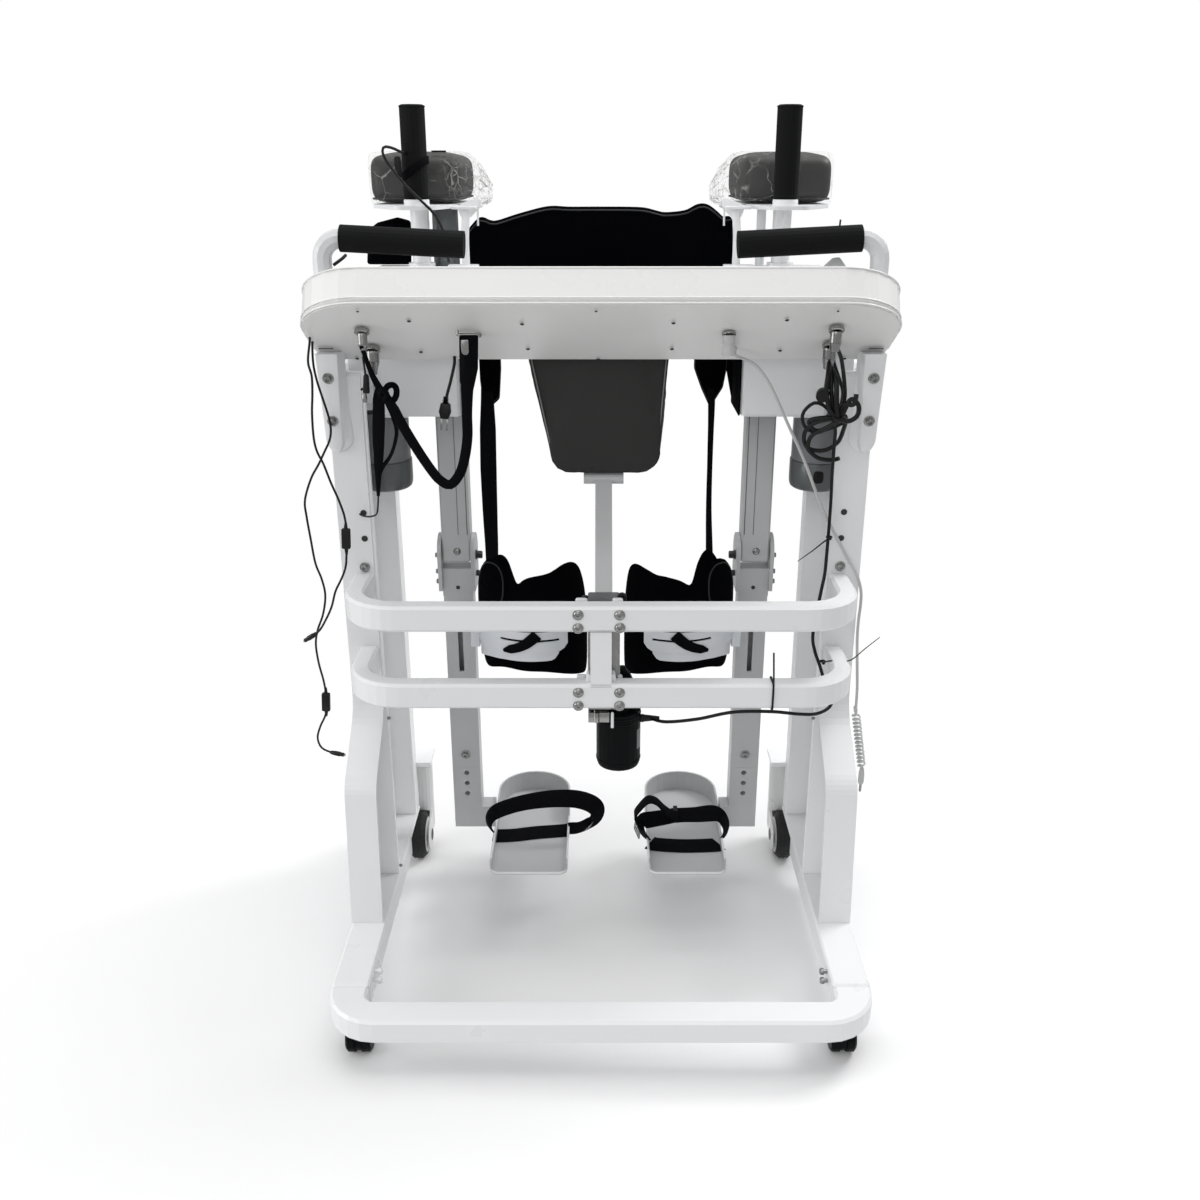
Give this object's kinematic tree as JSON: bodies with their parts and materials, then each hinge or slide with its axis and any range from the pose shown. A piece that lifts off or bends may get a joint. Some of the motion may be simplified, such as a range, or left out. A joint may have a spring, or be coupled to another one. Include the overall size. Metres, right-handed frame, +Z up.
{
  "type": "exoskeleton gait trainer",
  "caption": "Wheeled gait trainer frame with a front tray, guard bars, a folding saddle, forearm supports and jointed leg units with foot plates on a height lift.",
  "frame": {"origin": "on the floor below the middle of the plan", "axes": "+Z up, the walker faces -Y, +X is the viewer's right in the picture and the walker's left"},
  "size_m": [0.864, 0.65, 1.2753],
  "materials": {
    "white_powder_coat": "satin",
    "white_tray_plastic": "satin",
    "black_foam_grip": "matte",
    "dark_grey_leatherette": "satin",
    "grey_pad_cover": "satin",
    "black_neoprene": "matte",
    "zinc_steel": "satin",
    "black_motor_can": "satin",
    "grey_drive_shroud": "satin",
    "black_tyre": "matte",
    "white_caster_plastic": "satin",
    "black_cable": "satin",
    "white_cable": "satin"
  },
  "bodies": {
    "frame": {"base_front_tube": "white_powder_coat", "upper_guard_bar": "white_powder_coat", "lower_guard_bar": "white_powder_coat", "guard_bar_plate": "white_powder_coat", "console_shell": "white_tray_plastic", "console_base_plate": "white_tray_plastic", "seat_actuator": "zinc_steel", "seat_motor": "black_motor_can", "motor_cable": "black_cable", "handset_cord": "white_cable", "handset_curl": "white_cable", "handset_plug": "white_cable", "sensor_lead_long": "black_cable", "sensor_lead_short": "black_cable", "power_plug": "black_cable", "base_rail_left": "white_powder_coat", "side_frame_left": "white_powder_coat", "lift_column_left": "white_powder_coat", "console_bracket_left": "white_powder_coat", "handlebar_left": "white_powder_coat", "handlebar_grip_left": "black_foam_grip", "base_rail_right": "white_powder_coat", "side_frame_right": "white_powder_coat", "lift_column_right": "white_powder_coat", "console_bracket_right": "white_powder_coat", "handlebar_right": "white_powder_coat", "handlebar_grip_right": "black_foam_grip"},
    "lift_carriage": {"harness_belt": "black_neoprene", "hip_drive_left": "white_powder_coat", "lift_shroud_left": "grey_drive_shroud", "hip_drive_right": "white_powder_coat", "lift_shroud_right": "grey_drive_shroud"},
    "forearm_support_left": {"forearm_post_left": "white_powder_coat", "forearm_grip_left": "black_foam_grip", "forearm_pad_left": "grey_pad_cover"},
    "thigh_left": {"thigh_link_left": "white_powder_coat"},
    "shank_left": {"shank_link_left": "white_powder_coat", "calf_cuff_left": "black_neoprene", "cuff_plate_left": "white_powder_coat"},
    "ankle_slide_left": {"foot_bracket_left": "white_powder_coat"},
    "foot_left": {"foot_plate_left": "white_powder_coat"},
    "forearm_support_right": {"forearm_post_right": "white_powder_coat", "forearm_grip_right": "black_foam_grip", "forearm_pad_right": "grey_pad_cover"},
    "thigh_right": {"thigh_link_right": "white_powder_coat"},
    "shank_right": {"shank_link_right": "white_powder_coat", "calf_cuff_right": "black_neoprene", "cuff_plate_right": "white_powder_coat"},
    "ankle_slide_right": {"foot_bracket_right": "white_powder_coat"},
    "foot_right": {"foot_plate_right": "white_powder_coat"},
    "saddle_post": {"seat_post": "white_powder_coat"},
    "saddle": {"seat_pad": "dark_grey_leatherette"},
    "front_swivel_left": {"front_caster_hood_left": "black_motor_can"},
    "front_wheel_left": {"front_caster_wheel_left": "black_motor_can"},
    "rear_swivel_left": {"rear_caster_fork_left": "white_caster_plastic"},
    "rear_wheel_left": {"rear_caster_wheel_left": "black_tyre"},
    "front_swivel_right": {"front_caster_hood_right": "black_motor_can"},
    "front_wheel_right": {"front_caster_wheel_right": "black_motor_can"},
    "rear_swivel_right": {"rear_caster_fork_right": "white_caster_plastic"},
    "rear_wheel_right": {"rear_caster_wheel_right": "black_tyre"}
  },
  "joints": [
    {"name": "lift_slide", "type": "slide", "parent": "frame", "child": "lift_carriage", "axis": [0, 0, 1], "range_m": [0, 0.14]},
    {"name": "forearm_height_left", "type": "slide", "parent": "lift_carriage", "child": "forearm_support_left", "axis": [0, 0, 1], "range_m": [0, 0.06]},
    {"name": "hip_left", "type": "hinge", "parent": "lift_carriage", "child": "thigh_left", "pos_m": [-0.2335, 0.182, 1], "axis": [-1, 0, 0], "range_deg": [-20, 15]},
    {"name": "knee_left", "type": "hinge", "parent": "thigh_left", "child": "shank_left", "pos_m": [-0.2335, 0.182, 0.613], "axis": [1, 0, 0], "range_deg": [0, 60]},
    {"name": "shank_length_left", "type": "slide", "parent": "shank_left", "child": "ankle_slide_left", "axis": [0, 0, 1], "range_m": [-0.06, 0]},
    {"name": "ankle_left", "type": "hinge", "parent": "ankle_slide_left", "child": "foot_left", "pos_m": [-0.1185, 0.182, 0.126], "axis": [-1, 0, 0], "range_deg": [-15, 20]},
    {"name": "forearm_height_right", "type": "slide", "parent": "lift_carriage", "child": "forearm_support_right", "axis": [0, 0, 1], "range_m": [0, 0.06]},
    {"name": "hip_right", "type": "hinge", "parent": "lift_carriage", "child": "thigh_right", "pos_m": [0.2485, 0.182, 1], "axis": [-1, 0, 0], "range_deg": [-20, 15]},
    {"name": "knee_right", "type": "hinge", "parent": "thigh_right", "child": "shank_right", "pos_m": [0.2485, 0.182, 0.613], "axis": [1, 0, 0], "range_deg": [0, 60]},
    {"name": "shank_length_right", "type": "slide", "parent": "shank_right", "child": "ankle_slide_right", "axis": [0, 0, 1], "range_m": [-0.06, 0]},
    {"name": "ankle_right", "type": "hinge", "parent": "ankle_slide_right", "child": "foot_right", "pos_m": [0.1415, 0.182, 0.126], "axis": [-1, 0, 0], "range_deg": [-15, 20]},
    {"name": "saddle_height", "type": "slide", "parent": "frame", "child": "saddle_post", "axis": [0, 0.672, 0.7406], "range_m": [0, 0.05]},
    {"name": "saddle_fold", "type": "hinge", "parent": "saddle_post", "child": "saddle", "pos_m": [0.004, 0.092, 0.758], "axis": [-1, 0, 0], "range_deg": [0, 80]},
    {"name": "front_swivel_left", "type": "hinge", "parent": "frame", "child": "front_swivel_left", "pos_m": [-0.348, -0.277, 0], "axis": [0, 0, 1], "continuous": true},
    {"name": "front_roll_left", "type": "hinge", "parent": "front_swivel_left", "child": "front_wheel_left", "pos_m": [-0.348, -0.265, 0.024], "axis": [1, 0, 0], "continuous": true},
    {"name": "rear_swivel_left", "type": "hinge", "parent": "frame", "child": "rear_swivel_left", "pos_m": [-0.335, 0.284, 0], "axis": [0, 0, 1], "continuous": true},
    {"name": "rear_roll_left", "type": "hinge", "parent": "rear_swivel_left", "child": "rear_wheel_left", "pos_m": [-0.335, 0.237, 0.043], "axis": [1, 0, 0], "continuous": true},
    {"name": "front_swivel_right", "type": "hinge", "parent": "frame", "child": "front_swivel_right", "pos_m": [0.348, -0.277, 0], "axis": [0, 0, 1], "continuous": true},
    {"name": "front_roll_right", "type": "hinge", "parent": "front_swivel_right", "child": "front_wheel_right", "pos_m": [0.348, -0.265, 0.024], "axis": [1, 0, 0], "continuous": true},
    {"name": "rear_swivel_right", "type": "hinge", "parent": "frame", "child": "rear_swivel_right", "pos_m": [0.335, 0.284, 0], "axis": [0, 0, 1], "continuous": true},
    {"name": "rear_roll_right", "type": "hinge", "parent": "rear_swivel_right", "child": "rear_wheel_right", "pos_m": [0.335, 0.237, 0.043], "axis": [1, 0, 0], "continuous": true}
  ]
}
